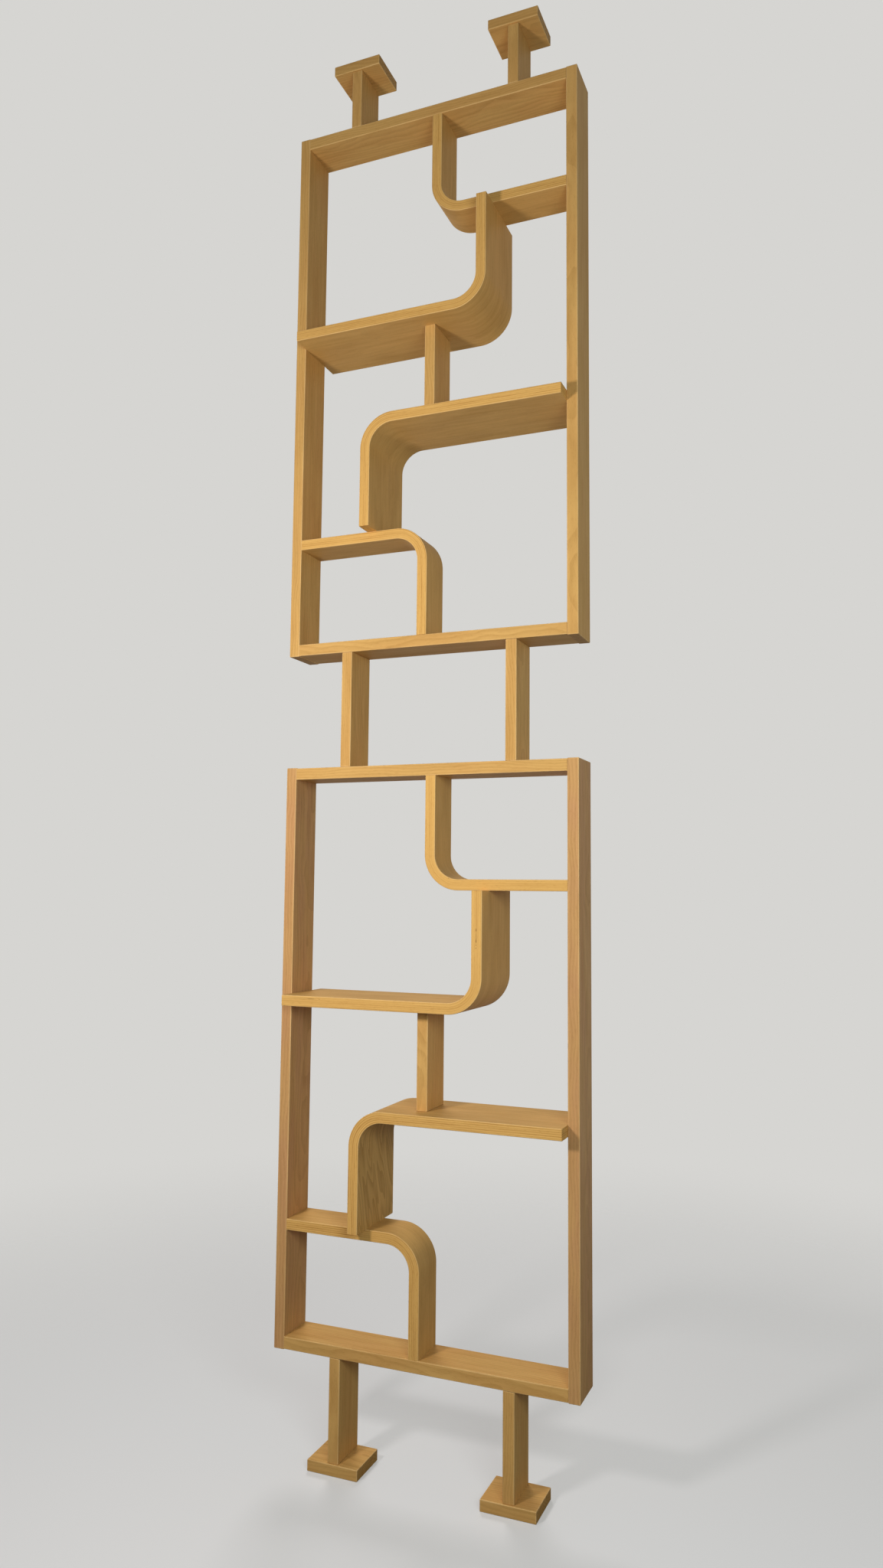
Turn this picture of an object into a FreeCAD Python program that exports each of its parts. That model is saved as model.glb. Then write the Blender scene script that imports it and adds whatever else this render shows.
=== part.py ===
import FreeCAD, Part
import math
import os
from FreeCAD import Vector

os.makedirs("parts", exist_ok=True)

# All sizes are in millimetres. X runs along the divider's width, Y through its depth and Z up.
# The origin is on the floor, under the middle of the divider.

# Two alike frames of solid beech stand one above the other. Rails butt between the stiles.
frame_width = 580.0
frame_height = 1070.0  # over the rails
frame_depth = 80.0
stile_thickness = 21.0
rail_thickness = 22.0
stile_overhang = 1.0  # how far the ends of the stiles stand past the rails

# Each shelf is one board of bent plywood: a leg, a bend and a flat stretch. The bays between corner
# shelves and wide shelves take the height that is left.
shelf_thickness = 20.0
bend_radius = 45.0  # inside of the bend
wide_shelf_depth = 152.0
corner_bay_height = 189.0  # clear height between a rail and the corner shelf whose leg meets it
corner_leg_offset = 1.0  # from the frame's middle to the outer face of a corner shelf's leg
wide_leg_offset = 126.0  # from the frame's middle to the outer face of a wide shelf's leg

# Legs, posts and spacers are cut from one stock.
post_thickness = 21.0
post_depth = 78.0
post_spacing = 330.0  # centre to centre
spacer_length = 176.0  # between the two wide shelves of a frame
leg_length = 180.0
connecting_post_length = 220.0
top_post_length = 120.0

# The floor plates and the ceiling plates are alike, but for the jacks in the ceiling plates.
plate_width = 100.0
plate_depth = 84.0
plate_thickness = 20.0

# Sanded edges of all wooden pieces. Only the ends of rails and shelves, which butt tight, are sharp.
edge_ease = 1.5

# Two hidden dowels hold each butt joint.
dowel_diameter = 8.0
dowel_spacing = 40.0
dowel_end_depth = 20.0  # hole in the end of a piece
dowel_skin = 8.0  # wood left past a hole in the face of a board
dowel_clearance = 0.05  # glue gap round a dowel
dowel_end_gap = 1.0  # room for glue past each end of a dowel
dowel_chamfer = 0.8

# A screw jack in each top post presses its ceiling plate up. The nut turns on a washer on the
# post's end, and drives the rod, which a flanged insert holds in the plate. A recess in the plate
# hides the nut while the plate is down.
rod_diameter = 10.0
rod_chamfer = 1.0
rod_clearance = 0.3  # round the rod, in the post and in the washer
rod_end_gap = 5.0  # from the rod's lower end to the floor of its bore
bore_floor = 40.0  # wood left under the bore in a top post
thread_clearance = 0.1  # round the rod, in the nut and in the insert
nut_wall = 3.0  # from the thread to a flat
nut_height = 5.0
nut_face_inset = 0.4  # from a flat to the rim of the chamfered corners
nut_chamfer_angle = 30.0
washer_rim = 5.0  # from the thread to the washer's edge
washer_thickness = 2.0
insert_wall = 1.5  # from the thread to the outside of the insert's barrel
insert_flange_rim = 3.0  # from the barrel to the flange's edge
insert_flange_thickness = 1.5
insert_clearance = 0.05  # round the barrel, in the plate
recess_clearance = 0.3  # round the washer, and between the nut and the flange
plate_skin = 2.5  # wood left over the insert

touching = 0.01  # points nearer than this are in one place
along_x = Vector(1, 0, 0)
along_y = Vector(0, 1, 0)
along_z = Vector(0, 0, 1)


def block(width, depth, height):
    """A sharp-edged block, centred on the origin."""
    return Part.makeBox(width, depth, height, Vector(-width / 2, -depth / 2, -height / 2))


def eased_block(width, depth, height):
    """A block, centred on the origin, with every edge eased."""
    blank = block(width, depth, height)
    return blank.makeFillet(edge_ease, blank.Edges)


def rail_block(length, depth, thickness):
    """A block along X, centred on the origin, with its long edges eased and its ends left sharp."""
    blank = block(length, depth, thickness)
    long_edges = [edge for edge in blank.Edges if edge.Curve.Direction.cross(along_x).Length < touching]
    return blank.makeFillet(edge_ease, long_edges)


def moved(shape, x, z):
    """A copy of a shape, moved across the divider and up."""
    return shape.translated(Vector(x, 0, z))


def half_turned(shape):
    """A copy of a shape of a frame, half turned about the frame's middle."""
    return shape.rotated(Vector(0, 0, 0), along_y, 180)


def bent_shelf(leg_face, reach, underside, leg_top, depth):
    """A leg that hangs from leg_top, bends at the underside and runs level to reach.

    The outer face of the leg is at leg_face, on the side away from the shelf.
    """
    side = math.copysign(1, reach - leg_face)
    outer_radius = bend_radius + shelf_thickness
    bend_x = leg_face + side * outer_radius
    bend_z = underside + outer_radius
    inner_face = leg_face + side * shelf_thickness
    topside = underside + shelf_thickness

    def bend_middle(radius):
        slant = radius * math.sqrt(0.5)
        return Vector(bend_x - side * slant, 0, bend_z - slant)

    outline = [
        Part.LineSegment(Vector(leg_face, 0, leg_top), Vector(leg_face, 0, bend_z)),
        Part.Arc(Vector(leg_face, 0, bend_z), bend_middle(outer_radius), Vector(bend_x, 0, underside)),
        Part.LineSegment(Vector(bend_x, 0, underside), Vector(reach, 0, underside)),
        Part.LineSegment(Vector(reach, 0, underside), Vector(reach, 0, topside)),
        Part.LineSegment(Vector(reach, 0, topside), Vector(bend_x, 0, topside)),
        Part.Arc(Vector(bend_x, 0, topside), bend_middle(bend_radius), Vector(inner_face, 0, bend_z)),
        Part.LineSegment(Vector(inner_face, 0, bend_z), Vector(inner_face, 0, leg_top)),
        Part.LineSegment(Vector(inner_face, 0, leg_top), Vector(leg_face, 0, leg_top)),
    ]
    profile = Part.Face(Part.Wire([piece.toShape() for piece in outline]))
    profile.translate(Vector(0, -depth / 2, 0))
    board = profile.extrude(Vector(0, depth, 0))

    def runs_along(edge):
        box = edge.BoundBox
        at_an_end = abs(box.Center.x - reach) < touching or abs(box.Center.z - leg_top) < touching
        return box.YLength < touching and not at_an_end

    return board.makeFillet(edge_ease, [edge for edge in board.Edges if runs_along(edge)])


def chamfered(pin, chamfer):
    """A round pin with both of its ends chamfered."""
    return pin.makeChamfer(chamfer, [edge for edge in pin.Edges if isinstance(edge.Curve, Part.Circle)])


def dowel(start, direction, length):
    """A round wooden dowel."""
    return chamfered(Part.makeCylinder(dowel_diameter / 2, length, start, direction), dowel_chamfer)


def join(pieces, dowels, face_piece, end_piece, at, into, thickness):
    """Drills the face of one piece and the end of another, and adds the two dowels to a list.

    The joint's middle is at a point on the face, and into points from there into the end.
    """
    face_depth = thickness - dowel_skin
    for side in (-1, 1):
        start = at + along_y * (side * dowel_spacing / 2) - into * face_depth
        length = face_depth + dowel_end_depth
        hole = Part.makeCylinder(dowel_diameter / 2 + dowel_clearance, length, start, into)
        for name in (face_piece, end_piece):
            pieces[name] = pieces[name].cut(hole).Solids[0]
        dowels.append(dowel(start + into * dowel_end_gap, into, length - 2 * dowel_end_gap))


# One frame, built about its own middle. A half turn about Y takes each piece to its twin.
inner_x = frame_width / 2 - stile_thickness
rail_face = frame_height / 2 - rail_thickness
corner_underside = rail_face - corner_bay_height - shelf_thickness
wide_underside = spacer_length / 2

stile = eased_block(stile_thickness, frame_depth, frame_height + 2 * stile_overhang)
rail = rail_block(2 * inner_x, frame_depth, rail_thickness)

frame = {
    "left_stile": moved(stile, -inner_x - stile_thickness / 2, 0),
    "top_rail": moved(rail, 0, rail_face + rail_thickness / 2),
    "hung_corner_shelf": bent_shelf(corner_leg_offset, inner_x, corner_underside, rail_face, frame_depth),
    "hung_wide_shelf": bent_shelf(
        wide_leg_offset, -inner_x, wide_underside, corner_underside, wide_shelf_depth
    ),
    "spacer": eased_block(post_thickness, post_depth, spacer_length),
}
twins = {
    "left_stile": "right_stile",
    "top_rail": "bottom_rail",
    "hung_corner_shelf": "standing_corner_shelf",
    "hung_wide_shelf": "standing_wide_shelf",
}
for name, twin in twins.items():
    frame[twin] = half_turned(frame[name])
twins.update({twin: name for name, twin in twins.items()})
twins["spacer"] = "spacer"

# Butt joints of a frame's upper half: the piece drilled in its face, the piece drilled in its
# end, the joint's middle, the way into the end, and the thickness of the drilled face.
rail_middle = rail_face + rail_thickness / 2
corner_middle = corner_underside + shelf_thickness / 2
wide_middle = wide_underside + shelf_thickness / 2
corner_leg_middle = corner_leg_offset + shelf_thickness / 2
wide_leg_middle = wide_leg_offset - shelf_thickness / 2
half_frame_joints = {
    "frame_dowels": [
        ("left_stile", "top_rail", (-inner_x, rail_middle), along_x, stile_thickness),
        ("right_stile", "top_rail", (inner_x, rail_middle), -along_x, stile_thickness),
    ],
    "shelf_end_dowels": [
        ("right_stile", "hung_corner_shelf", (inner_x, corner_middle), -along_x, stile_thickness),
        ("left_stile", "hung_wide_shelf", (-inner_x, wide_middle), along_x, stile_thickness),
    ],
    "shelf_leg_dowels": [
        ("top_rail", "hung_corner_shelf", (corner_leg_middle, rail_face), -along_z, rail_thickness),
        ("hung_corner_shelf", "hung_wide_shelf", (wide_leg_middle, corner_underside), -along_z,
         shelf_thickness),
    ],
    "spacer_dowels": [
        ("hung_wide_shelf", "spacer", (0, wide_underside), -along_z, shelf_thickness),
    ],
}
frame_dowels = {}
for group, joints in half_frame_joints.items():
    frame_dowels[group] = []
    for face_piece, end_piece, (x, z), into, thickness in joints:
        join(frame, frame_dowels[group], face_piece, end_piece, Vector(x, 0, z), into, thickness)
        join(frame, frame_dowels[group], twins[face_piece], twins[end_piece], Vector(-x, 0, -z), -into,
             thickness)

# The stack, from the floor up.
lower_frame_bottom = plate_thickness + leg_length
lower_frame_top = lower_frame_bottom + frame_height
upper_frame_bottom = lower_frame_top + connecting_post_length
upper_frame_top = upper_frame_bottom + frame_height
top_post_top = upper_frame_top + top_post_length

pieces = {}
dowels = {}
for level, bottom in (("lower", lower_frame_bottom), ("upper", upper_frame_bottom)):
    middle = bottom + frame_height / 2
    for name, shape in frame.items():
        pieces[f"{level}_{name}"] = moved(shape, 0, middle)
    for group, pins in frame_dowels.items():
        dowels[f"{level}_{group}"] = [moved(pin, 0, middle) for pin in pins]

# Legs, connecting posts and top posts, in two columns, with a plate at each end of a column.
dowels.update({"leg_dowels": [], "connecting_post_dowels": [], "top_post_dowels": []})
columns = {"left": -post_spacing / 2, "right": post_spacing / 2}
for column, x in columns.items():
    posts = {
        "leg": (leg_length, plate_thickness),
        "connecting_post": (connecting_post_length, lower_frame_top),
        "top_post": (top_post_length, upper_frame_top),
    }
    for name, (length, bottom) in posts.items():
        post = eased_block(post_thickness, post_depth, length)
        pieces[f"{column}_{name}"] = moved(post, x, bottom + length / 2)
    plate = eased_block(plate_width, plate_depth, plate_thickness)
    pieces[f"{column}_floor_plate"] = moved(plate, x, plate_thickness / 2)
    pieces[f"{column}_ceiling_plate"] = moved(plate, x, top_post_top + plate_thickness / 2)

    for face_piece, post, z, into, thickness in (
        (f"{column}_floor_plate", "leg", plate_thickness, along_z, plate_thickness),
        ("lower_bottom_rail", "leg", lower_frame_bottom, -along_z, rail_thickness),
        ("lower_top_rail", "connecting_post", lower_frame_top, along_z, rail_thickness),
        ("upper_bottom_rail", "connecting_post", upper_frame_bottom, -along_z, rail_thickness),
        ("upper_top_rail", "top_post", upper_frame_top, along_z, rail_thickness),
    ):
        joint_middle = Vector(x, 0, z)
        join(pieces, dowels[f"{post}_dowels"], face_piece, f"{column}_{post}", joint_middle, into, thickness)

# The jacks, each on the axis of a top post. The plates are down, with their recesses over the nuts.
nut_width = rod_diameter + 2 * nut_wall
washer_diameter = rod_diameter + 2 * washer_rim
insert_barrel_diameter = rod_diameter + 2 * insert_wall
insert_flange_diameter = insert_barrel_diameter + 2 * insert_flange_rim
recess_diameter = max(washer_diameter, insert_flange_diameter) + 2 * recess_clearance

bore_bottom = upper_frame_top + bore_floor
rod_bottom = bore_bottom + rod_end_gap
nut_bottom = top_post_top + washer_thickness
nut_top = nut_bottom + nut_height
flange_bottom = nut_top + recess_clearance
recess_top = flange_bottom + insert_flange_thickness
insert_top = top_post_top + plate_thickness - plate_skin


def upright(diameter, bottom, top):
    """A cylinder on the Z axis."""
    return Part.makeCylinder(diameter / 2, top - bottom, Vector(0, 0, bottom))


def hexagon_nut():
    """A thin hexagon nut, with its corners chamfered at both faces."""
    angles = [math.radians(60 * corner) for corner in range(7)]
    corner_radius = nut_width / 2 / math.cos(math.radians(30))
    corners = [Vector(math.cos(angle), math.sin(angle), 0) * corner_radius for angle in angles]
    prism = Part.Face(Part.makePolygon(corners)).extrude(Vector(0, 0, nut_height))
    face_radius = nut_width / 2 - nut_face_inset
    wide_radius = face_radius + nut_height / math.tan(math.radians(nut_chamfer_angle))
    chamfered_prism = prism.common(Part.makeCone(wide_radius, face_radius, nut_height))
    chamfered_prism = chamfered_prism.common(Part.makeCone(face_radius, wide_radius, nut_height))
    bore = upright(rod_diameter + 2 * thread_clearance, 0, nut_height)
    return moved(chamfered_prism.cut(bore).Solids[0], 0, nut_bottom)


def flanged_insert():
    """The threaded insert in a ceiling plate, with its flange against the ceiling of the recess."""
    flange = upright(insert_flange_diameter, flange_bottom, recess_top)
    barrel = upright(insert_barrel_diameter, recess_top, insert_top)
    bore = upright(rod_diameter + 2 * thread_clearance, flange_bottom, insert_top)
    return flange.fuse(barrel).cut(bore).removeSplitter().Solids[0]


def washer():
    """A plain washer on the end of a top post."""
    disc = upright(washer_diameter, top_post_top, nut_bottom)
    return disc.cut(upright(rod_diameter + 2 * rod_clearance, top_post_top, nut_bottom)).Solids[0]


for column, x in columns.items():
    rod = chamfered(upright(rod_diameter, rod_bottom, insert_top), rod_chamfer)
    pieces[f"{column}_jack_rod"] = moved(rod, x, 0)
    pieces[f"{column}_jack_nut"] = moved(hexagon_nut(), x, 0)
    pieces[f"{column}_jack_washer"] = moved(washer(), x, 0)
    pieces[f"{column}_plate_insert"] = moved(flanged_insert(), x, 0)

    bore = upright(rod_diameter + 2 * rod_clearance, bore_bottom, top_post_top)
    recess = upright(recess_diameter, top_post_top, recess_top)
    insert_hole = upright(insert_barrel_diameter + 2 * insert_clearance, recess_top, insert_top)
    for name, cut in (("top_post", bore), ("ceiling_plate", recess), ("ceiling_plate", insert_hole)):
        pieces[f"{column}_{name}"] = pieces[f"{column}_{name}"].cut(moved(cut, x, 0)).Solids[0]

for node, shape in pieces.items():
    shape.exportStep(f"parts/{node}.step")
for node, pins in dowels.items():
    Part.makeCompound(pins).exportStep(f"parts/{node}.step")
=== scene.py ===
import math

import bmesh
import bpy
from mathutils import Euler, Matrix, Vector


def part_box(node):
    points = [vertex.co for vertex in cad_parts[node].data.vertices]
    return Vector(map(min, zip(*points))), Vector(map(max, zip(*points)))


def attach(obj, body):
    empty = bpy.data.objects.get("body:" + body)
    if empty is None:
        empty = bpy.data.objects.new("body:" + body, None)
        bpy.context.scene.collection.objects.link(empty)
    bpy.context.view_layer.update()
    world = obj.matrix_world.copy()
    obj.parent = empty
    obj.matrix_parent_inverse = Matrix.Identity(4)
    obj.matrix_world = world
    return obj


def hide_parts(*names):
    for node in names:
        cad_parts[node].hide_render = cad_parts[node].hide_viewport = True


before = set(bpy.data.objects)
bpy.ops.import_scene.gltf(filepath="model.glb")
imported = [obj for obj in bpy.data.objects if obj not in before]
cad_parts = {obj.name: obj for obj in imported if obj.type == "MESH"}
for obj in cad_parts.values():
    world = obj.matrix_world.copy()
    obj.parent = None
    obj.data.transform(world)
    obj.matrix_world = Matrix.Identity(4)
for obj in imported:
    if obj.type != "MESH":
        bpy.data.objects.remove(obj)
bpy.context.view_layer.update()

# Legs and floor plates: solid beech, planed square, with the edges sanded round and a satin lacquer
# over it all. Each leg stands on the middle of its plate, on two hidden dowels.
MM = 0.001
beech = {"light": "#DDB16C", "dark": "#A3783B", "patch": "#D8A966"}
# The paler colour of the painted highlight along the edges.
edge_highlight_pale = "#EFCB90"
pore_depth = 0.08 * MM


def linear(colour):
    """An sRGB hex colour as the linear values that a shader takes."""
    values = []
    for place in (1, 3, 5):
        share = int(colour[place:place + 2], 16) / 255
        values.append(share / 12.92 if share <= 0.04045 else ((share + 0.055) / 1.055) ** 2.4)
    return values + [1.0]


def per_mm(lengths):
    """The scale of a pattern that changes over these lengths in millimetres."""
    return [1 / length for length in lengths]


def add(tree, kind, inputs, **settings):
    """Adds a node, makes its settings, and sets or links its inputs by name or number."""
    made = tree.nodes.new(f"ShaderNode{kind}")
    for setting, value in settings.items():
        setattr(made, setting, value)
    for key, value in inputs.items():
        if isinstance(value, bpy.types.NodeSocket):
            tree.links.new(value, made.inputs[key])
        else:
            made.inputs[key].default_value = value
    return made


def new_finish(name, *pieces):
    """A new material on each of these objects. Gives its nodes and its shader."""
    material = bpy.data.materials.new(name)
    material.use_nodes = True
    for piece in pieces:
        piece.data.materials.clear()
        piece.data.materials.append(material)
    return material.node_tree, material.node_tree.nodes["Principled BSDF"]


def painted_edge_highlight(tree, colour, from_edge, highlight_width, streaks):
    """Painted highlight: paler wood along the edges, where the rounded edges catch light, more in places."""
    near_edge = add(tree, "MapRange", {
        "Value": from_edge, "From Min": 0.4, "From Max": highlight_width, "To Min": 1.0, "To Max": 0.0,
    }, interpolation_type="SMOOTHSTEP")
    highlight_breakup = add(tree, "MapRange", {
        "Value": streaks, "From Min": 0.35, "From Max": 0.65, "To Min": 0.65, "To Max": 0.25,
    })
    highlight_share = add(tree, "Math", {0: near_edge.outputs[0], 1: highlight_breakup.outputs[0]}, operation="MULTIPLY")
    return add(tree, "Mix", {0: highlight_share.outputs[0], 6: colour, 7: linear(edge_highlight_pale)}, data_type="RGBA")


def satin_lacquer(tree, shader, colour, streaks, pores):
    """Satin lacquer on wood of this colour: half dull, and sunk a little at the pores."""
    roughness = add(tree, "MapRange", {
        "Value": streaks, "From Min": 0.3, "From Max": 0.7, "To Min": 0.56, "To Max": 0.68,
    })
    relief = add(tree, "Bump", {"Height": pores, "Strength": 0.35, "Distance": pore_depth}, invert=True)
    tree.links.new(colour, shader.inputs["Base Color"])
    tree.links.new(roughness.outputs[0], shader.inputs["Roughness"])
    tree.links.new(relief.outputs[0], shader.inputs["Normal"])
    shader.inputs["IOR"].default_value = 1.5
    shader.inputs["Specular IOR Level"].default_value = 0.25


def solid_beech(node, grain, wood, board, eased_ends=True):
    """Planed solid beech under satin lacquer, each board from its own place in a log.

    The eye gets slow patches of a warmer tone, faint growth rings, soft streaks along the grain, short
    dark ray flecks, and a painted highlight along the edges, where rounded edges catch the light. Rings
    and flecks are drawn about twice as coarse as real ones, so that they show from where the photo was
    taken.
    """
    tree, shader = new_finish(f"Lacquered beech {node}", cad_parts[node])

    # Millimetres from the middle of the board: along the grain, then across the board both ways.
    low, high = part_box(node)
    turn = Euler((0, math.pi / 2 if grain == "Z" else 0, 0))
    middle = turn.to_matrix() @ ((low + high) / 2) / MM
    object_place = add(tree, "TexCoord", {})
    place = add(tree, "Mapping", {
        "Vector": object_place.outputs["Object"],
        "Location": -middle,
        "Rotation": turn,
        "Scale": [1 / MM] * 3,
    })

    # Growth rings lie round a pith beside the board, and the slow bends of the log shift them. Each
    # board is sawn from another side of its log, a golden angle on from the last one.
    ring_width = 5.0
    ring_shift = 46.0
    bend_lengths = (280, 110, 110)
    bend_start = board * Vector((3.7, 0, 0))
    pith_distance = 75.0
    golden_angle = math.radians(137.5)
    side = board * golden_angle
    pith = (0, pith_distance * math.cos(side), pith_distance * math.sin(side))
    from_pith = add(tree, "VectorMath", {0: place.outputs[0], 1: pith}, operation="SUBTRACT")
    across = add(tree, "VectorMath", {0: from_pith.outputs[0], 1: (0, 1, 1)}, operation="MULTIPLY")
    radius = add(tree, "VectorMath", {0: across.outputs[0]}, operation="LENGTH")
    bend_place = add(tree, "VectorMath", {
        0: place.outputs[0], 1: per_mm(bend_lengths), 2: bend_start,
    }, operation="MULTIPLY_ADD")
    bend = add(tree, "TexNoise", {"Vector": bend_place.outputs[0], "Scale": 1.0, "Detail": 3.0})
    bent_radius = add(tree, "Math", {
        0: bend.outputs[0], 1: ring_shift, 2: radius.outputs["Value"],
    }, operation="MULTIPLY_ADD")
    ring = add(tree, "Math", {0: bent_radius.outputs[0], 1: ring_width}, operation="DIVIDE")
    ring_share = add(tree, "Math", {0: ring.outputs[0]}, operation="FRACT")
    late_wood = add(tree, "MapRange", {
        "Value": ring_share.outputs[0], "From Min": 0.25, "From Max": 0.95,
    }, interpolation_type="SMOOTHSTEP")

    # Streaks run along the grain, and ray flecks are short dark dashes along it.
    streak_lengths = (130, 9, 9)
    streak_start = board * Vector((5.3, 0, 0))
    fleck_lengths = (8, 1.1, 1.1)
    streak_place = add(tree, "VectorMath", {
        0: place.outputs[0], 1: per_mm(streak_lengths), 2: streak_start,
    }, operation="MULTIPLY_ADD")
    streaks = add(tree, "TexNoise", {
        "Vector": streak_place.outputs[0], "Scale": 1.0, "Detail": 4.0, "Roughness": 0.52,
    })
    streak_share = add(tree, "MapRange", {"Value": streaks.outputs[0], "From Min": 0.32, "From Max": 0.72})
    fleck_place = add(tree, "VectorMath", {
        0: place.outputs[0], 1: per_mm(fleck_lengths),
    }, operation="MULTIPLY")
    flecks = add(tree, "TexNoise", {"Vector": fleck_place.outputs[0], "Scale": 1.0, "Detail": 1.0})
    fleck_share = add(tree, "MapRange", {"Value": flecks.outputs[0], "From Min": 0.58, "From Max": 0.70})

    # The ends of the fibres drink more lacquer, so end grain is darker.
    grain_axis = (0, 0, 1) if grain == "Z" else (1, 0, 0)
    facing = add(tree, "VectorMath", {
        0: object_place.outputs["Normal"], 1: grain_axis,
    }, operation="DOT_PRODUCT")
    end_on = add(tree, "Math", {0: facing.outputs["Value"]}, operation="ABSOLUTE")
    end_share = add(tree, "MapRange", {"Value": end_on.outputs[0], "From Min": 0.6, "From Max": 0.95})

    # Each pattern takes the wood some way from its light tone to its dark one, beyond a plain share.
    shade = 0.09
    for pattern, weight in ((late_wood, 0.20), (streak_share, 0.21), (fleck_share, 0.18), (end_share, 0.45)):
        darker = add(tree, "Math", {0: pattern.outputs[0], 1: weight, 2: shade}, operation="MULTIPLY_ADD")
        shade = darker.outputs[0]

    # The light tone itself is warmer in slow patches.
    patch_lengths = (130, 34, 34)
    patch_start = board * Vector((2.3, 1.1, 0))
    patch_place = add(tree, "VectorMath", {
        0: place.outputs[0], 1: per_mm(patch_lengths), 2: patch_start,
    }, operation="MULTIPLY_ADD")
    patches = add(tree, "TexNoise", {"Vector": patch_place.outputs[0], "Scale": 1.0, "Detail": 2.0})
    patch_share = add(tree, "MapRange", {"Value": patches.outputs[0], "From Min": 0.40, "From Max": 0.62})
    tone = add(tree, "Mix", {
        0: patch_share.outputs[0], 6: linear(wood["light"]), 7: linear(wood["patch"]),
    }, data_type="RGBA")
    colour = add(tree, "Mix", {0: shade, 6: tone.outputs[2], 7: linear(wood["dark"])}, data_type="RGBA")

    # An edge is where a point is near two faces, so the second nearest face gives the distance from it.
    # Ends that butt tight against another board have no edges, as if the board went on there.
    highlight_width = 2.4
    runs_on = 100.0
    half_size = [abs(length) for length in turn.to_matrix() @ (high - low) / 2 / MM]
    if not eased_ends:
        half_size[0] += runs_on
    from_middle = add(tree, "VectorMath", {0: place.outputs[0]}, operation="ABSOLUTE")
    inset = add(tree, "VectorMath", {0: half_size, 1: from_middle.outputs[0]}, operation="SUBTRACT")
    insets = add(tree, "SeparateXYZ", {0: inset.outputs[0]})
    nearer = add(tree, "Math", {0: insets.outputs["X"], 1: insets.outputs["Y"]}, operation="MINIMUM")
    farther = add(tree, "Math", {0: insets.outputs["X"], 1: insets.outputs["Y"]}, operation="MAXIMUM")
    second = add(tree, "Math", {0: farther.outputs[0], 1: insets.outputs["Z"]}, operation="MINIMUM")
    second = add(tree, "Math", {0: nearer.outputs[0], 1: second.outputs[0]}, operation="MAXIMUM")
    # Painted highlight: the wood is paler along its edges, where the rounded edges catch the light.
    colour = painted_edge_highlight(tree, colour.outputs[2], second.outputs[0], highlight_width, streaks.outputs[0])
    pores = add(tree, "Math", {0: fleck_share.outputs[0], 1: streak_share.outputs[0]}, operation="ADD")
    satin_lacquer(tree, shader, colour.outputs[2], streaks.outputs[0], pores.outputs[0])


columns = ("left", "right")
for board, column in enumerate(columns):
    solid_beech(f"{column}_leg", "Z", beech, board)
    solid_beech(f"{column}_floor_plate", "X", beech, 2 + board)

# Rails and spacers: the same planed beech as the legs. A rail is butted between the stiles at each end
# of a frame, and a spacer stands between the frame's two wide shelves.
levels = ("lower", "upper")
for board, level in enumerate(levels):
    solid_beech(f"{level}_bottom_rail", "X", beech, 4 + board, eased_ends=False)
    solid_beech(f"{level}_top_rail", "X", beech, 6 + board, eased_ends=False)
    solid_beech(f"{level}_spacer", "Z", beech, 8 + board)

# Stiles: full-height boards of beech on edge, whose ends stand a millimetre past the rails. The lower
# pair is from steamed stock, which is pinker than the rails, and the upper pair is like the rails.
steamed_beech = {"light": "#D4A66E", "dark": "#9A7040", "patch": "#CF9E6E"}
stile_wood = {"lower": steamed_beech, "upper": beech}
stiles = [(level, column) for level in levels for column in columns]
for board, (level, column) in enumerate(stiles):
    solid_beech(f"{level}_{column}_stile", "Z", stile_wood[level], 10 + board)

# Bent shelves: beech veneers glued up in a mould, a leg, a bend and a flat stretch in one piece. The
# board is sanded flush at its edges, which show the plies, and is butted to stiles, rails and shelves.
shelf_thickness = 20.0
bend_outside = 65.0
long_ply = 2.25
cross_ply = 1.3
veneer_light = "#DBB06B"
veneer_dark = "#A57C3E"
ply_light = "#E4B76C"
ply_dark = "#AF7B3A"
gap_dark = "#5B3B1C"


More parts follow.
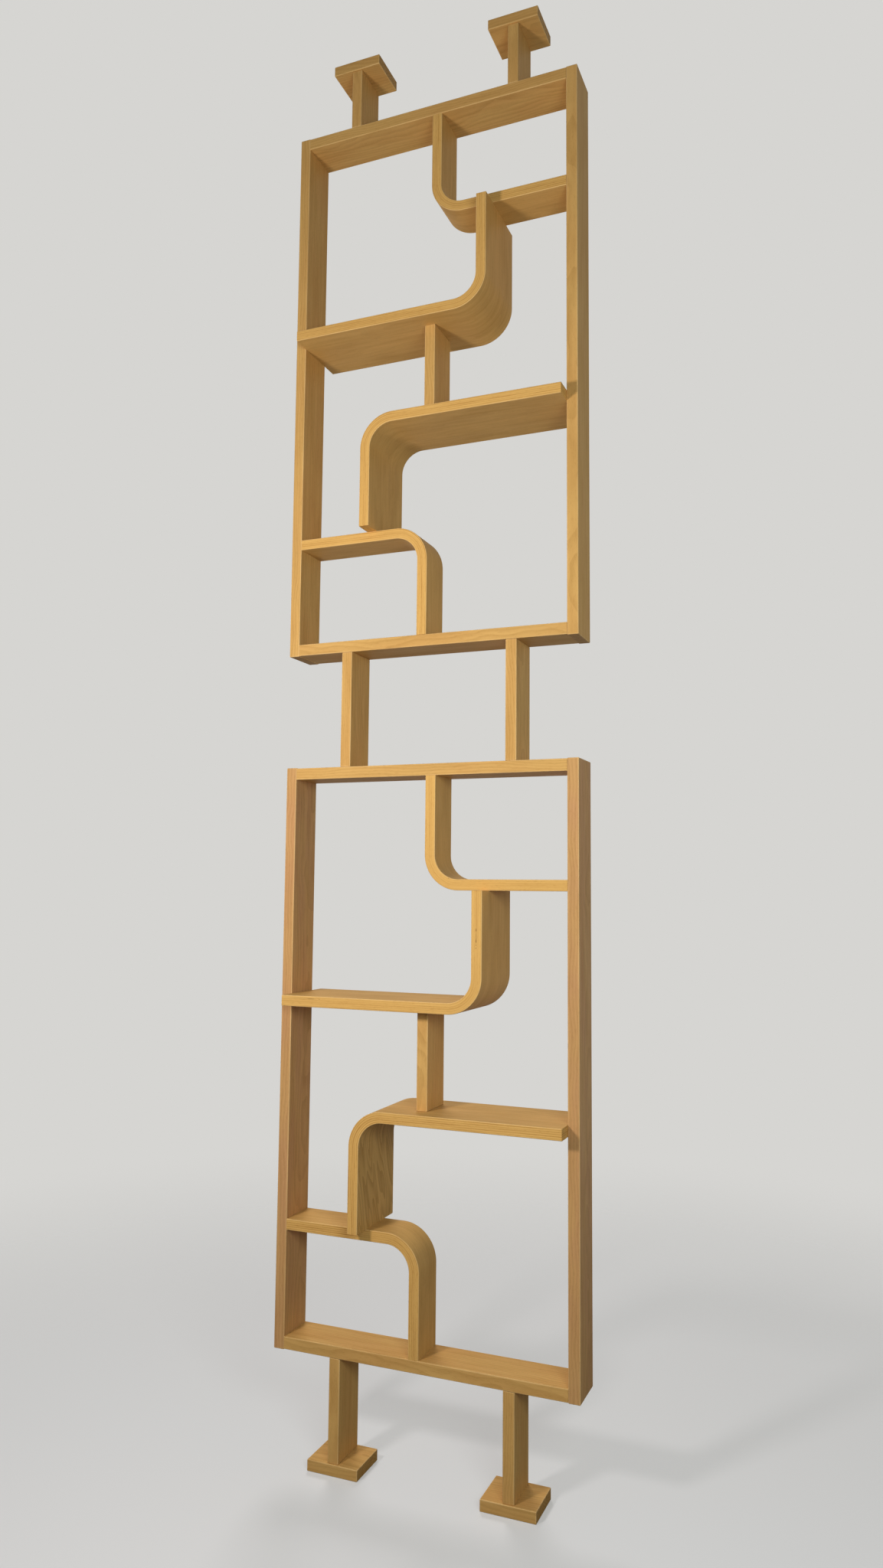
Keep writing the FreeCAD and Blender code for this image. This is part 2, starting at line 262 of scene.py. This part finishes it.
def bent_plywood(node, board, leg_on_right, standing, slant, figure, plies, marks):
    """Moulded beech plywood under satin lacquer.

    Each face shows one sheet of peeled veneer, softly mottled, with long wavy rings along the board,
    which on the inside of the bend may slant. The edges show the plies, light ones with the grain along
    the board and darker ones across it. A ply is drawn as thick as in a board of eleven, which is as fine
    as the photo shows. How far the inside veneer slants, and how strong its figure and the plies are,
    differ by board.
    """
    tree, shader = new_finish(f"Lacquered beech plywood {node}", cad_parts[node])

    # Millimetres from the outside of the bend: along the shelf, through its depth, and up the leg.
    low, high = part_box(node)
    leg_face = high.x if leg_on_right else low.x
    outer_face = high.z if standing else low.z
    along_sign = -1 if leg_on_right else 1
    up_sign = -1 if standing else 1
    object_place = add(tree, "TexCoord", {})
    place = add(tree, "Mapping", {
        "Vector": object_place.outputs["Object"],
        "Location": (-along_sign * leg_face / MM, 0, -up_sign * outer_face / MM),
        "Scale": (along_sign / MM, 1 / MM, up_sign / MM),
    })
    parts = add(tree, "SeparateXYZ", {0: place.outputs[0]})

    # How far into the bend a point is, both ways, gives its depth in the board and its place along it.
    bend_along = add(tree, "Math", {0: bend_outside, 1: parts.outputs["X"]}, operation="SUBTRACT")
    bend_along = add(tree, "Math", {0: bend_along.outputs[0], 1: 0.0}, operation="MAXIMUM")
    bend_up = add(tree, "Math", {0: bend_outside, 1: parts.outputs["Z"]}, operation="SUBTRACT")
    bend_up = add(tree, "Math", {0: bend_up.outputs[0], 1: 0.0}, operation="MAXIMUM")
    from_centre = add(tree, "CombineXYZ", {0: bend_along.outputs[0], 1: bend_up.outputs[0]})
    radius = add(tree, "VectorMath", {0: from_centre.outputs[0]}, operation="LENGTH")
    depth = add(tree, "Math", {0: bend_outside, 1: radius.outputs["Value"]}, operation="SUBTRACT")
    angle = add(tree, "Math", {0: bend_along.outputs[0], 1: bend_up.outputs[0]}, operation="ARCTAN2")
    flat_along = add(tree, "Math", {0: parts.outputs["X"], 1: bend_outside}, operation="MAXIMUM")
    leg_along = add(tree, "Math", {0: parts.outputs["Z"], 1: bend_outside}, operation="MAXIMUM")
    straight = add(tree, "Math", {0: flat_along.outputs[0], 1: leg_along.outputs[0]}, operation="SUBTRACT")
    along = add(tree, "Math", {
        0: angle.outputs[0], 1: shelf_thickness / 2 - bend_outside, 2: straight.outputs[0],
    }, operation="MULTIPLY_ADD")
    in_board = add(tree, "CombineXYZ", {0: along.outputs[0], 1: parts.outputs["Y"], 2: depth.outputs[0]})

    # A point near neither face is on an edge. Only the veneer on the inside of the bend slants.
    skin = 0.4
    edge_start = 1.2
    from_inside = add(tree, "Math", {0: shelf_thickness, 1: depth.outputs[0]}, operation="SUBTRACT")
    from_face = add(tree, "Math", {0: depth.outputs[0], 1: from_inside.outputs[0]}, operation="MINIMUM")
    edge_share = add(tree, "MapRange", {
        "Value": from_face.outputs[0], "From Min": skin, "From Max": edge_start,
    })
    inside_share = add(tree, "MapRange", {
        "Value": depth.outputs[0],
        "From Min": shelf_thickness - edge_start,
        "From Max": shelf_thickness - skin,
    })
    slanted = add(tree, "Math", {0: inside_share.outputs[0], 1: slant}, operation="MULTIPLY")
    grain_across = add(tree, "Math", {
        0: along.outputs[0], 1: slanted.outputs[0], 2: parts.outputs["Y"],
    }, operation="MULTIPLY_ADD")
    in_sheet = add(tree, "CombineXYZ", {
        0: along.outputs[0], 1: grain_across.outputs[0], 2: depth.outputs[0],
    })

    # Rings of the peeled veneer: level lines of a slow, stretched field, the same through a sheet.
    sheet_lengths = (330, 55, math.inf)
    sheet_start = board * Vector((4.1, 1.7, 2.3))
    ring_lines = 15.0
    sheet_place = add(tree, "VectorMath", {
        0: in_sheet.outputs[0], 1: per_mm(sheet_lengths), 2: sheet_start,
    }, operation="MULTIPLY_ADD")
    sheet = add(tree, "TexNoise", {
        "Vector": sheet_place.outputs[0], "Scale": 1.0, "Detail": 2.0, "Roughness": 0.45,
    })
    rings = add(tree, "Math", {0: sheet.outputs[0], 1: ring_lines}, operation="MULTIPLY")
    ring_share = add(tree, "Math", {0: rings.outputs[0]}, operation="FRACT")
    late_wood = add(tree, "MapRange", {
        "Value": ring_share.outputs[0], "From Min": 0.2, "From Max": 0.95,
    }, interpolation_type="SMOOTHSTEP")

    # Fibres along the sheet, short ray flecks, and a slow mottle.
    fibre_lengths = (110, 6.5, 1.5)
    fibre_start = board * Vector((3.3, 0, 5.9))
    fleck_lengths = (8, 1.2, 1.2)
    mottle_lengths = (150, 45, 30)
    mottle_start = board * Vector((1.9, 2.7, 0.7))
    fibre_place = add(tree, "VectorMath", {
        0: in_sheet.outputs[0], 1: per_mm(fibre_lengths), 2: fibre_start,
    }, operation="MULTIPLY_ADD")
    fibres = add(tree, "TexNoise", {
        "Vector": fibre_place.outputs[0], "Scale": 1.0, "Detail": 4.0, "Roughness": 0.55,
    })
    fibre_share = add(tree, "MapRange", {"Value": fibres.outputs[0], "From Min": 0.32, "From Max": 0.72})
    fleck_place = add(tree, "VectorMath", {
        0: in_board.outputs[0], 1: per_mm(fleck_lengths),
    }, operation="MULTIPLY")
    flecks = add(tree, "TexNoise", {"Vector": fleck_place.outputs[0], "Scale": 1.0, "Detail": 1.0})
    fleck_share = add(tree, "MapRange", {"Value": flecks.outputs[0], "From Min": 0.58, "From Max": 0.70})
    mottle_place = add(tree, "VectorMath", {
        0: in_sheet.outputs[0], 1: per_mm(mottle_lengths), 2: mottle_start,
    }, operation="MULTIPLY_ADD")
    mottle = add(tree, "TexNoise", {"Vector": mottle_place.outputs[0], "Scale": 1.0, "Detail": 2.0})
    mottle_share = add(tree, "MapRange", {"Value": mottle.outputs[0], "From Min": 0.36, "From Max": 0.64})

    # Each pattern takes the face some way from its light tone to its dark one, beyond a plain share. The
    # board's own figure shows on the inside of the bend alone.
    outside_figure = 0.08
    ring_strength = add(tree, "MapRange", {
        "Value": inside_share.outputs[0], "To Min": outside_figure, "To Max": figure,
    })
    ring_weight = ring_strength.outputs[0]
    shade = 0.10
    patterns = ((late_wood, ring_weight), (mottle_share, 0.18), (fibre_share, 0.20), (fleck_share, 0.16))
    for pattern, weight in patterns:
        darker = add(tree, "Math", {0: pattern.outputs[0], 1: weight, 2: shade}, operation="MULTIPLY_ADD")
        shade = darker.outputs[0]
    face_colour = add(tree, "Mix", {
        0: shade, 6: linear(veneer_light), 7: linear(veneer_dark),
    }, data_type="RGBA")

    # Plies on the edges. They wander a little through the board, and the dark ones come and go.
    wander_lengths = (80, 40, 10)
    wander_start = board * Vector((2.9, 0, 0))
    wander_width = 1.8
    ply_pair = long_ply + cross_ply
    wander_place = add(tree, "VectorMath", {
        0: in_board.outputs[0], 1: per_mm(wander_lengths), 2: wander_start,
    }, operation="MULTIPLY_ADD")
    wander = add(tree, "TexNoise", {"Vector": wander_place.outputs[0], "Scale": 1.0, "Detail": 3.0})
    wandered = add(tree, "Math", {
        0: wander.outputs[0], 1: wander_width, 2: depth.outputs[0],
    }, operation="MULTIPLY_ADD")
    ply_depth = add(tree, "Math", {0: wandered.outputs[0], 1: wander_width / 2}, operation="SUBTRACT")
    ply_count = add(tree, "Math", {0: ply_depth.outputs[0], 1: ply_pair}, operation="DIVIDE")
    ply_share = add(tree, "Math", {0: ply_count.outputs[0]}, operation="FRACT")
    long_share = long_ply / ply_pair
    into_cross = add(tree, "MapRange", {
        "Value": ply_share.outputs[0], "From Min": long_share - 0.32, "From Max": long_share + 0.12,
    }, interpolation_type="SMOOTHSTEP")
    out_of_cross = add(tree, "MapRange", {
        "Value": ply_share.outputs[0], "From Min": 0.76, "From Max": 1.0,
    }, interpolation_type="SMOOTHSTEP")
    cross_share = add(tree, "Math", {
        0: into_cross.outputs[0], 1: out_of_cross.outputs[0],
    }, operation="SUBTRACT")
    fading_lengths = (75, 90, 3.2)
    fading_start = board * Vector((7.1, 0, 0))
    faintest = 0.1
    fading_place = add(tree, "VectorMath", {
        0: in_board.outputs[0], 1: per_mm(fading_lengths), 2: fading_start,
    }, operation="MULTIPLY_ADD")
    fading = add(tree, "TexNoise", {"Vector": fading_place.outputs[0], "Scale": 1.0, "Detail": 4.0})
    ply_strength = add(tree, "MapRange", {
        "Value": fading.outputs[0],
        "From Min": 0.34,
        "From Max": 0.68,
        "To Min": faintest * plies,
        "To Max": plies,
    })
    cross_shade = add(tree, "Math", {
        0: cross_share.outputs[0], 1: ply_strength.outputs[0],
    }, operation="MULTIPLY")
    ply_number = add(tree, "Math", {0: ply_count.outputs[0]}, operation="FLOOR")
    ply_tone = add(tree, "TexWhiteNoise", {"W": ply_number.outputs[0]}, noise_dimensions="1D")
    shade = 0.0
    for pattern, weight in ((fibre_share, 0.30), (fleck_share, 0.20), (ply_tone, 0.12), (cross_shade, 0.72)):
        darker = add(tree, "Math", {0: pattern.outputs[0], 1: weight, 2: shade}, operation="MULTIPLY_ADD")
        shade = darker.outputs[0]
    edge_colour = add(tree, "Mix", {0: shade, 6: linear(ply_light), 7: linear(ply_dark)}, data_type="RGBA")
    colour = add(tree, "Mix", {
        0: edge_share.outputs[0], 6: face_colour.outputs[2], 7: edge_colour.outputs[2],
    }, data_type="RGBA")

    # Painted highlight: the wood is paler where a face meets an edge, where the corner catches the light.
    highlight_width = 2.0
    half_depth = (high.y - low.y) / 2 / MM
    off_middle = add(tree, "Math", {0: parts.outputs["Y"]}, operation="ABSOLUTE")
    from_edge = add(tree, "Math", {0: half_depth, 1: off_middle.outputs[0]}, operation="SUBTRACT")
    from_corner = add(tree, "Math", {0: from_face.outputs[0], 1: from_edge.outputs[0]}, operation="MAXIMUM")
    colour = painted_edge_highlight(tree, colour.outputs[2], from_corner.outputs[0], highlight_width, fibres.outputs[0])

    # Gaps between plies and a small knot are dark spots, each with its middle, half sizes and darkness.
    for middle, half_size, darkness in marks:
        offset = [-spot / size for spot, size in zip(middle, half_size)]
        from_mark = add(tree, "VectorMath", {
            0: in_board.outputs[0], 1: per_mm(half_size), 2: offset,
        }, operation="MULTIPLY_ADD")
        distance = add(tree, "VectorMath", {0: from_mark.outputs[0]}, operation="LENGTH")
        mark_share = add(tree, "MapRange", {
            "Value": distance.outputs["Value"],
            "From Min": 0.3,
            "From Max": 1.0,
            "To Min": darkness,
            "To Max": 0.0,
        }, interpolation_type="SMOOTHSTEP")
        colour = add(tree, "Mix", {
            0: mark_share.outputs[0], 6: colour.outputs[2], 7: linear(gap_dark),
        }, data_type="RGBA")
    pores = add(tree, "Math", {0: fleck_share.outputs[0], 1: fibre_share.outputs[0]}, operation="ADD")
    satin_lacquer(tree, shader, colour.outputs[2], fibres.outputs[0], pores.outputs[0])


wide_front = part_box("lower_hung_wide_shelf")[0].y / MM
wide_shelf_marks = [
    ((-169, wide_front, 10.5), (4, 9, 0.9), 0.8),
    ((-157, wide_front, 10.4), (13, 9, 0.7), 0.6),
    ((-150, wide_front, 10.5), (5, 9, 0.9), 0.8),
    ((-143, wide_front, 10.5), (1.8, 9, 0.9), 0.7),
    ((-138, wide_front, 10.5), (1.6, 9, 0.9), 0.8),
    ((286, wide_front, 15.6), (42, 12, 0.8), 0.35),
    ((268, wide_front, 15.3), (12, 12, 0.9), 0.5),
    ((251, wide_front, 15.2), (2.5, 12, 0.8), 0.4),
    ((167, 53, shelf_thickness), (2.4, 1.8, 1), 0.5),
]
corner_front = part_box("lower_hung_corner_shelf")[0].y / MM
corner_shelf_marks = [((-21, corner_front, 18.2), (2, 3, 0.9), 0.5)]
shelf_kinds = {
    "standing_corner_shelf": {"leg_on_right": True, "standing": True},
    "standing_wide_shelf": {"leg_on_right": False, "standing": True},
    "hung_wide_shelf": {"leg_on_right": True, "standing": False},
    "hung_corner_shelf": {"leg_on_right": False, "standing": False},
}
plain_board = {"slant": 0.0, "figure": 0.08, "plies": 0.8, "marks": []}
own_boards = {
    "lower_standing_corner_shelf": {"plies": 1.0},
    "lower_standing_wide_shelf": {"slant": 0.26, "figure": 0.38, "plies": 1.0},
    "lower_hung_wide_shelf": {"plies": 0.5, "marks": wide_shelf_marks},
    "lower_hung_corner_shelf": {"slant": 0.06, "plies": 0.35, "marks": corner_shelf_marks},
}
shelves = [(level, kind) for level in levels for kind in shelf_kinds]
for board, (level, kind) in enumerate(shelves, start=1):
    node = f"{level}_{kind}"
    own_board = plain_board | own_boards.get(node, {})
    bent_plywood(node, board, **shelf_kinds[kind], **own_board)

# Connecting posts, top posts and ceiling plates: beech like the legs and floor plates. The posts plug
# onto dowels in the rails, and the ceiling plates ride on the jacks in the top posts.
for board, column in enumerate(columns):
    solid_beech(f"{column}_connecting_post", "Z", beech, 14 + board)
    solid_beech(f"{column}_top_post", "Z", beech, 16 + board)
    solid_beech(f"{column}_ceiling_plate", "X", beech, 18 + board)

# Dowels: turned beech pins, two at each butt joint, glued into holes in both pieces. They are bare, so
# paler than the lacquered boards, and out of sight in the joints.
bare_beech = {"light": "#E6C79A", "dark": "#C89C66", "patch": "#E2BE8E"}
frame_groups = ("frame_dowels", "shelf_end_dowels", "shelf_leg_dowels", "spacer_dowels")
dowel_groups = [f"{level}_{group}" for level in levels for group in frame_groups]
dowel_groups += ["leg_dowels", "connecting_post_dowels", "top_post_dowels"]
for board, group in enumerate(dowel_groups):
    sideways = "frame_dowels" in group or "shelf_end" in group
    solid_beech(group, "X" if sideways else "Z", bare_beech, 20 + board)

# Jacks: zinc-plated steel, a threaded rod fixed in the ceiling plate by a flanged insert, and a thin
# nut that turns on a washer on the top post's end and lifts the rod.
zinc_grey = "#C4C7C9"
zinc_warm = "#B9B6AC"
cast_size = 6 * MM
pit_size = 0.3 * MM
pit_depth = 0.02 * MM
thread_pitch = 1.5 * MM
thread_depth = 0.9 * MM
steps_per_turn = 24


def zinc_plated(*pieces):
    """Bright zinc on turned steel: a cool grey metal with a faint warm cast in patches, and fine pits."""
    tree, shader = new_finish("Zinc plated steel", *pieces)
    object_place = add(tree, "TexCoord", {})
    cast_place = add(tree, "VectorMath", {
        0: object_place.outputs["Object"], 1: [1 / cast_size] * 3,
    }, operation="MULTIPLY")
    cast = add(tree, "TexNoise", {"Vector": cast_place.outputs[0], "Scale": 1.0, "Detail": 4.0})
    cast_share = add(tree, "MapRange", {"Value": cast.outputs[0], "From Min": 0.4, "From Max": 0.65})
    colour = add(tree, "Mix", {
        0: cast_share.outputs[0], 6: linear(zinc_grey), 7: linear(zinc_warm),
    }, data_type="RGBA")
    pit_place = add(tree, "VectorMath", {
        0: object_place.outputs["Object"], 1: [1 / pit_size] * 3,
    }, operation="MULTIPLY")
    pits = add(tree, "TexNoise", {"Vector": pit_place.outputs[0], "Scale": 1.0, "Detail": 2.0})
    roughness = add(tree, "MapRange", {
        "Value": pits.outputs[0], "From Min": 0.3, "From Max": 0.7, "To Min": 0.26, "To Max": 0.42,
    })
    relief = add(tree, "Bump", {"Height": pits.outputs[0], "Strength": 0.2, "Distance": pit_depth})
    tree.links.new(colour.outputs[2], shader.inputs["Base Color"])
    tree.links.new(roughness.outputs[0], shader.inputs["Roughness"])
    tree.links.new(relief.outputs[0], shader.inputs["Normal"])
    shader.inputs["Metallic"].default_value = 1.0


def threaded_rod(name, low, high):
    """A rod in the box of a CAD rod: a core with chamfered ends, and a thread wound round it."""
    axis = (low + high) / 2
    core = (high.x - low.x) / 2 - thread_depth
    step_angle = 2 * math.pi / steps_per_turn
    mesh = bmesh.new()

    def corner_at(size, angle, z):
        return mesh.verts.new((axis.x + size * math.cos(angle), axis.y + size * math.sin(angle), z))

    core_outline = (
        (low.z, core - thread_depth),
        (low.z + thread_depth, core),
        (high.z - thread_depth, core),
        (high.z, core - thread_depth),
    )
    core_rings = [
        [corner_at(size, step_angle * step, z) for step in range(steps_per_turn)]
        for z, size in core_outline
    ]
    for lower, upper in zip(core_rings, core_rings[1:]):
        for step in range(steps_per_turn):
            after = (step + 1) % steps_per_turn
            mesh.faces.new((lower[step], lower[after], upper[after], upper[step]))
    mesh.faces.new(reversed(core_rings[0]))
    mesh.faces.new(core_rings[-1])

    # The thread's ridge has a flat crest, sinks into the core at its foot, and runs out at both ends.
    half_foot = 0.44 * thread_pitch
    half_crest = thread_pitch / 16
    foot_radius = core - 0.1 * thread_depth
    plain_end = 2 * thread_pitch
    runout_steps = steps_per_turn / 2
    least_rise = 0.02
    ridge_length = high.z - low.z - 2 * plain_end
    ridge_steps = int(ridge_length / thread_pitch * steps_per_turn)
    ridge = []
    for step in range(ridge_steps + 1):
        z = low.z + plain_end + thread_pitch * step / steps_per_turn
        rise = min(1, step / runout_steps, (ridge_steps - step) / runout_steps)
        crest_radius = core + max(rise, least_rise) * thread_depth
        section = (
            (foot_radius, z - half_foot),
            (crest_radius, z - half_crest),
            (crest_radius, z + half_crest),
            (foot_radius, z + half_foot),
        )
        ridge.append([corner_at(size, step_angle * step, height) for size, height in section])
    for first, second in zip(ridge, ridge[1:]):
        for corner in range(len(first)):
            after = (corner + 1) % len(first)
            mesh.faces.new((first[corner], second[corner], second[after], first[after]))
    mesh.faces.new(reversed(ridge[0]))
    mesh.faces.new(ridge[-1])
    bmesh.ops.recalc_face_normals(mesh, faces=mesh.faces)

    data = bpy.data.meshes.new(name)
    mesh.to_mesh(data)
    mesh.free()
    rod = bpy.data.objects.new(name, data)
    bpy.context.scene.collection.objects.link(rod)
    return rod


jack_pieces = []
for column in columns:
    rod = threaded_rod(f"{column}_threaded_rod", *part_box(f"{column}_jack_rod"))
    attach(rod, f"{column}_plate")
    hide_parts(f"{column}_jack_rod")
    jack_pieces.append(rod)
    for name in ("jack_nut", "jack_washer", "plate_insert"):
        jack_pieces.append(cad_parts[f"{column}_{name}"])
zinc_plated(*jack_pieces)

# Floor: a plain pale disc under the divider, which fades into the backdrop away from it. The camera sees
# part of its paleness as a glow of its own, so that it stays even between the lamps, and the divider gets
# a darker floor's light from below. It can't be seen from below.
floor_radius = 2.6
floor_segments = 96
fade_radius = 0.7
floor_seen = "#B4B7BC"
floor_glow = "#DAD9D7"
glow_strength = 0.42
floor_grey = "#7C7B79"
mesh = bmesh.new()
bmesh.ops.create_circle(mesh, cap_ends=True, segments=floor_segments, radius=floor_radius)
data = bpy.data.meshes.new("floor")
mesh.to_mesh(data)
mesh.free()
floor = bpy.data.objects.new("floor", data)
bpy.context.scene.collection.objects.link(floor)
tree, shader = new_finish("Matt pale floor", floor)
shader.inputs["Roughness"].default_value = 0.9
path = add(tree, "LightPath", {})
colour = add(tree, "Mix", {
    0: path.outputs["Is Camera Ray"], 6: linear(floor_grey), 7: linear(floor_seen),
}, data_type="RGBA")
tree.links.new(colour.outputs[2], shader.inputs["Base Color"])
shader.inputs["Emission Color"].default_value = linear(floor_glow)
glow = add(tree, "Math", {0: path.outputs["Is Camera Ray"], 1: glow_strength}, operation="MULTIPLY")
tree.links.new(glow.outputs[0], shader.inputs["Emission Strength"])
object_place = add(tree, "TexCoord", {})
from_middle = add(tree, "VectorMath", {0: object_place.outputs["Object"]}, operation="LENGTH")
cover = add(tree, "MapRange", {
    "Value": from_middle.outputs["Value"],
    "From Min": fade_radius,
    "From Max": floor_radius,
    "To Min": 1.0,
    "To Max": 0.0,
}, interpolation_type="SMOOTHSTEP")
surface = add(tree, "NewGeometry", {})
from_above = add(tree, "Math", {0: 1.0, 1: surface.outputs["Backfacing"]}, operation="SUBTRACT")
cover = add(tree, "Math", {0: cover.outputs[0], 1: from_above.outputs[0]}, operation="MULTIPLY")
tree.links.new(cover.outputs[0], shader.inputs["Alpha"])

# Backdrop and light: a pale backdrop that only the camera and gloss see, dim even light from all
# round, and three soft lamps: a small key lamp in front on the left, a wide one on the right, and one
# high up behind. Gloss shows only the wide lamp, because the others would make white glints.
backdrop_pale = "#D6D5D2"
even_light = 0.15
even_white = "#F8FAEC"
warm_white = "#FFF6F0"
cool_white = "#F3F9F2"
lamps = {
    "key_lamp": {"place": (-0.50, -1.36, 1.42), "width": 0.25, "watts": 15.2, "white": warm_white},
    "right_lamp": {"place": (1.15, -1.55, 1.38), "width": 0.8, "watts": 16.5, "white": cool_white},
    "back_lamp": {"place": (-1.2, 2.2, 3.0), "width": 1.2, "watts": 46.0, "white": warm_white},
}
lamp_in_gloss = "right_lamp"
lamp_aim = Vector((0.0, 0.0, 1.30))
world = bpy.data.worlds.new("Pale studio")
world.use_nodes = True
bpy.context.scene.world = world
tree = world.node_tree
background = tree.nodes["Background"]
path = add(tree, "LightPath", {})
seen = add(tree, "Math", {
    0: path.outputs["Is Camera Ray"], 1: path.outputs["Is Glossy Ray"],
}, operation="MAXIMUM")
seen = add(tree, "Math", {0: seen.outputs[0], 1: path.outputs["Is Transmission Ray"]}, operation="MAXIMUM")
colour = add(tree, "Mix", {
    0: seen.outputs[0], 6: linear(even_white), 7: linear(backdrop_pale),
}, data_type="RGBA")
strength = add(tree, "MapRange", {"Value": seen.outputs[0], "To Min": even_light, "To Max": 1.0})
tree.links.new(colour.outputs[2], background.inputs["Color"])
tree.links.new(strength.outputs[0], background.inputs["Strength"])
for name, lamp_sizes in lamps.items():
    lamp_data = bpy.data.lights.new(name, "AREA")
    lamp_data.shape = "DISK"
    lamp_data.size = lamp_sizes["width"]
    lamp_data.energy = lamp_sizes["watts"]
    lamp_data.color = linear(lamp_sizes["white"])[:3]
    lamp = bpy.data.objects.new(name, lamp_data)
    lamp.location = lamp_sizes["place"]
    lamp.rotation_euler = (lamp_aim - lamp.location).to_track_quat("-Z", "Y").to_euler()
    lamp.visible_glossy = name == lamp_in_gloss
    bpy.context.scene.collection.objects.link(lamp)

# Camera: where the photo was taken from, standing to the right of the divider and looking a little up.
# The photo is 1153 by 2048, so the lens is set for its long side.
camera_place = (0.7947, -1.8851, 1.0377)
camera_heading = math.radians(22.43)
camera_tilt = math.radians(5.542)
camera_roll = math.radians(0.535)
long_side_pixels = 2048
focal_pixels = 1440.7
camera_data = bpy.data.cameras.new("camera")
camera_data.lens = camera_data.sensor_width * focal_pixels / long_side_pixels
camera = bpy.data.objects.new("camera", camera_data)
camera.matrix_world = (
    Matrix.Translation(camera_place)
    @ Matrix.Rotation(camera_heading, 4, "Z")
    @ Matrix.Rotation(math.pi / 2 + camera_tilt, 4, "X")
    @ Matrix.Rotation(camera_roll, 4, "Z")
)
bpy.context.scene.collection.objects.link(camera)
bpy.context.scene.camera = camera
bpy.context.scene.view_settings.view_transform = "Standard"
